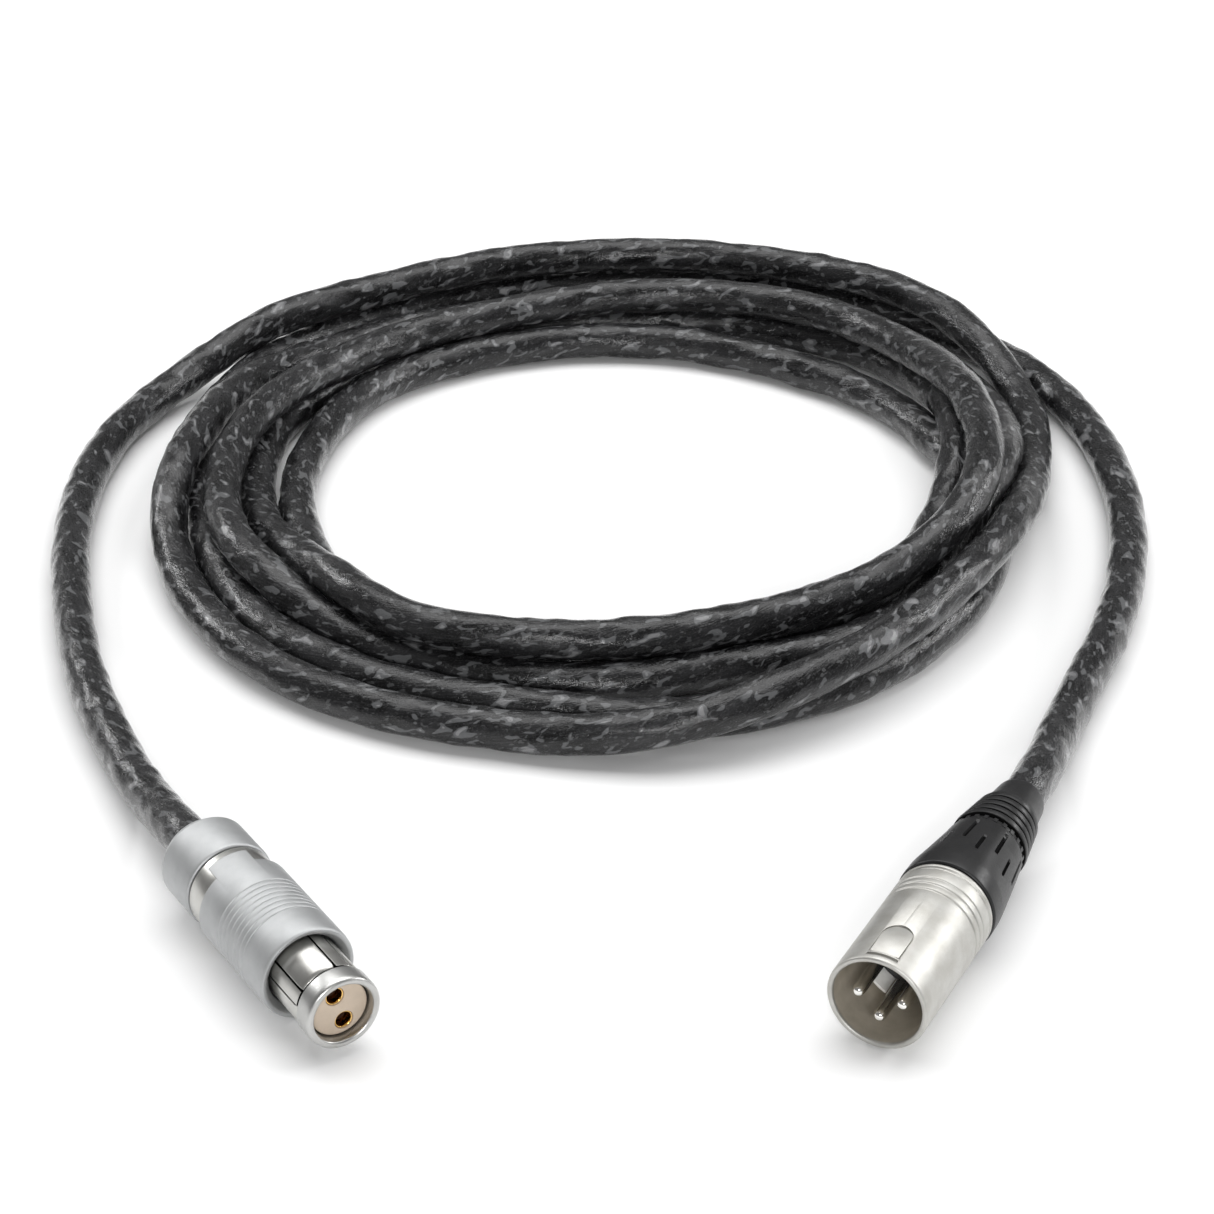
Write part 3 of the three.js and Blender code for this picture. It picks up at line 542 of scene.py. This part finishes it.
piece(boot, "lead", "black_rubber", [M_BOOT, M_SLIT_SHADE], "xlr_boot")
# slit floors on the grip and the grooves between the ribs take the near-black colour: painted shade
paint(boot, 1, lambda r, y, c, n: 38.0 < y < 51.2 and 7.0 < r < 9.62 - 1.95 * (max(0.0, y - 36.0) / 15.3) ** 1.12 - 0.30 and r > 7.46)
paint(boot, 1, lambda r, y, c, n: 53.2 < y < 63.4 and 5.0 < r < 7.62 - 0.144 * (y - 54.35) - 0.55)

# ---------------------------------------------------------------- push-pull plug
FINGERS = (112, 22, -68, -158)


def arc_solid(name, prof, mid, half, matrix, steps=28):
    """part of a turned ring: closed profile of (radius, y) swept from mid - half to mid + half degrees"""
    verts, faces, n = [], [], len(prof)
    for i in range(steps + 1):
        a = R(mid - half + 2 * half * i / steps)
        verts += [(r * math.cos(a) * MM, y * MM, r * math.sin(a) * MM) for r, y in prof]
    for i in range(steps):
        for k in range(n):
            j = (k + 1) % n
            faces.append((i * n + k, i * n + j, (i + 1) * n + j, (i + 1) * n + k))
    faces += [tuple(range(n))[::-1], tuple(range(steps * n, steps * n + n))]
    return face_out(new_mesh(name, verts, faces, matrix))


body = lathe("plug_body_look", [
    (5.75, -0.3), (5.85, -0.75), (6.15, -0.97), (6.5, -1.0), (6.85, -0.93), (7.1, -0.7), (7.22, -0.35), (7.25, 0.2), (7.25, 3.0), (7.1, 3.2), (6.7, 3.24), (6.7, 4.02), (6.85, 4.06),
    (6.85, 38.3), (8.5, 38.3), (8.5, 43.35), (7.4, 43.35), (7.4, 50.0), (6.9, 50.0), (6.9, 43.0), (5.25, 39.0), (5.25, 4.0), (5.75, 3.95)],
    PLUG, 144, rad=0.14)
body = cut(body, [prism(sector_poly(5.7, 9, a, 33.8), 3.75, 20.2, "xz", matrix=PLUG) for a in FINGERS], edge=0.06)
piece(body, "lead", "bright_chrome", [M_BRIGHT, M_RING, M_SLIT_SHADE], "plug_body")
paint(body, 1, lambda r, y, c, n: y < 3.3)
# the groove behind the nose ring and the floors of the finger windows take the near-black colour: painted shade
paint(body, 2, lambda r, y, c, n: 3.21 < y < 4.05 and 6.2 < r < 6.84)
paint(body, 2, lambda r, y, c, n: 3.7 < y < 20.3 and 5.4 < r < 6.83)
for i, a in enumerate(FINGERS):
    f = arc_solid("plug_finger_%d_look" % (i + 1), [(6.25, 4.2), (6.42, 4.2), (6.85, 5.0), (6.85, 19.8), (6.25, 19.8)], a, 30.6, PLUG)
    f = cut(f, [], edge=0.10)
    piece(f, "finger_%d" % (i + 1), "bright_chrome", M_BRIGHT, "plug_finger_%d" % (i + 1))
prof = [(7.2, 14.0), (7.55, 13.5), (8.3, 12.6), (8.6, 12.5), (8.95, 12.5), (9.2, 12.95), (9.3, 13.8)]
for i in range(8):
    y = 20.3 + 1.4 * i
    prof += [(9.3, y - 0.2), (9.1, y - 0.06), (9.1, y + 0.06), (9.3, y + 0.2)]
prof += [(9.3, 40.9), (9.15, 41.2), (8.8, 41.2), (8.8, 36.0), (7.2, 35.6)]
sleeve = lathe("plug_sleeve_look", prof, PLUG, 160, rad=0.10)
sleeve = cut(sleeve, [prism(sector_poly(7.8, 11, a, 65), 37.5, 42.2, "xz", matrix=PLUG) for a in (10, 190)], edge=0.07)
piece(sleeve, "sleeve", "matt_chrome", M_MATT, "plug_sleeve")
SOCKETS = [(-0.75, 2.8), (0.75, -2.8)]
ins = lathe("plug_insulator_look", [(0, 0.9), (5.3, 0.9), (5.45, 1.1), (5.45, 3.65), (4.95, 3.65), (4.95, 19.0), (0, 19.0)], PLUG, 120, closed=False, rad=0.1)
ins = cut(ins, [rod_tool(1.84, 0.0, 20.0, x, z, PLUG) for x, z in SOCKETS], edge=0.06)
piece(ins, "lead", "beige_plastic", M_BEIGE, "plug_insulator")
for i, (x, z) in enumerate(SOCKETS):
    so = lathe("plug_socket_%d_look" % (i + 1), [
        (1.4, 1.45), (1.5, 1.15), (1.65, 1.08), (1.76, 1.2), (1.76, 24.0), (1.5, 24.4), (1.5, 28.5), (1.0, 28.5), (1.0, 25.5), (0, 25.5), (0, 12.0), (1.4, 12.0), (1.4, 3.2)],
        PLUG @ Matrix.Translation(Vector((x, 0, z)) * MM), 56, closed=False, rad=0.08)
    so = face_out(so)
    piece(so, "lead", "gold", [M_GOLD, M_BORE_SHADE], "plug_socket_%d" % (i + 1))
    # the deep part of each socket bore takes the dark brown: painted shade
    paint(so, 1, lambda r, y, c, n: r < 1.45 and 3.2 < y < 12.5)
nut = lathe("plug_backnut_look", [
    (7.75, 43.7), (8.55, 43.7), (8.82, 43.95), (8.9, 44.4), (8.9, 54.2), (7.35, 56.5), (6.7, 57.2), (6.3, 57.35), (6.0, 57.35), (6.0, 55.4), (6.4, 54.9), (6.9, 51.6), (7.75, 50.8)], PLUG, 144, rad=0.12)
piece(nut, "lead", "matt_chrome", M_MATT, "plug_backnut")

# ---------------------------------------------------------------- inner pieces keep their CAD shape
for name, m in {
    "xlr_bushing": M_BLACK, "xlr_chuck": M_CLAMP, "xlr_cable_end": M_BLACK, "xlr_wire_1": M_RED, "xlr_wire_2": M_WHITE, "xlr_wire_3": M_BLUE,
    "plug_retainer": M_BRIGHT, "plug_collet": M_BRASS, "plug_gland": M_BOOT, "plug_cable_end": M_BLACK, "plug_wire_1": M_RED, "plug_wire_2": M_BLACK,
}.items():
    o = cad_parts[name]
    if not o.material_slots:
        o.data.materials.append(m)
    for s in o.material_slots:
        s.link = "OBJECT"
        s.material = m


# ---------------------------------------------------------------- floor and light
def from_camera(x, y, z):
    """a place given across, away from and above the camera's foot, in metres"""
    c, s = math.cos(TURN), math.sin(TURN)
    return Vector((c * x - s * y + 0.20876, s * x + c * y - 0.394188, z))


fl = bpy.data.meshes.new("floor")
fl.from_pydata([(-6, -6, -0.0001), (6, -6, -0.0001), (6, 6, -0.0001), (-6, 6, -0.0001)], [], [(0, 1, 2, 3)])
floor = bpy.data.objects.new("floor", fl)
bpy.context.scene.collection.objects.link(floor)
m, nt, b = base_mat("m_floor", (0.93, 0.93, 0.93), 0.55, 0.0, spec=0.15)
nt.links.new(remap(nt, noise(nt, coords(nt, (900, 900, 900)), 1.0, 2.0), 0.3, 0.7, 0.50, 0.60), b.inputs["Roughness"])
fl.materials.append(m)

world = bpy.data.worlds.new("studio")
bpy.context.scene.world = world
world.use_nodes = True
wb = world.node_tree.nodes["Background"]
wb.inputs["Color"].default_value = (1.0, 1.0, 1.0, 1.0)
wb.inputs["Strength"].default_value = 0.22


def softbox(name, place, aim, w, h, power):
    d = bpy.data.lights.new(name, "AREA")
    d.shape, d.size, d.size_y, d.energy = "RECTANGLE", w, h, power
    o = bpy.data.objects.new(name, d)
    o.location = place
    o.rotation_euler = (aim - place).to_track_quat("-Z", "Y").to_euler()
    bpy.context.scene.collection.objects.link(o)
    return o


mid = from_camera(0.0, 0.58, 0.0)
softbox("top", from_camera(0.05, 0.90, 1.10), mid, 1.5, 0.9, 14.0)
softbox("front", from_camera(0.02, -0.50, 0.52), mid, 0.46, 0.08, 5.0)
softbox("right", from_camera(1.1, 0.80, 0.50), mid, 0.70, 0.08, 5.5)
softbox("left", from_camera(-0.9, 1.15, 0.60), mid, 0.46, 0.08, 3.4)
bpy.context.scene.view_settings.view_transform = "Standard"
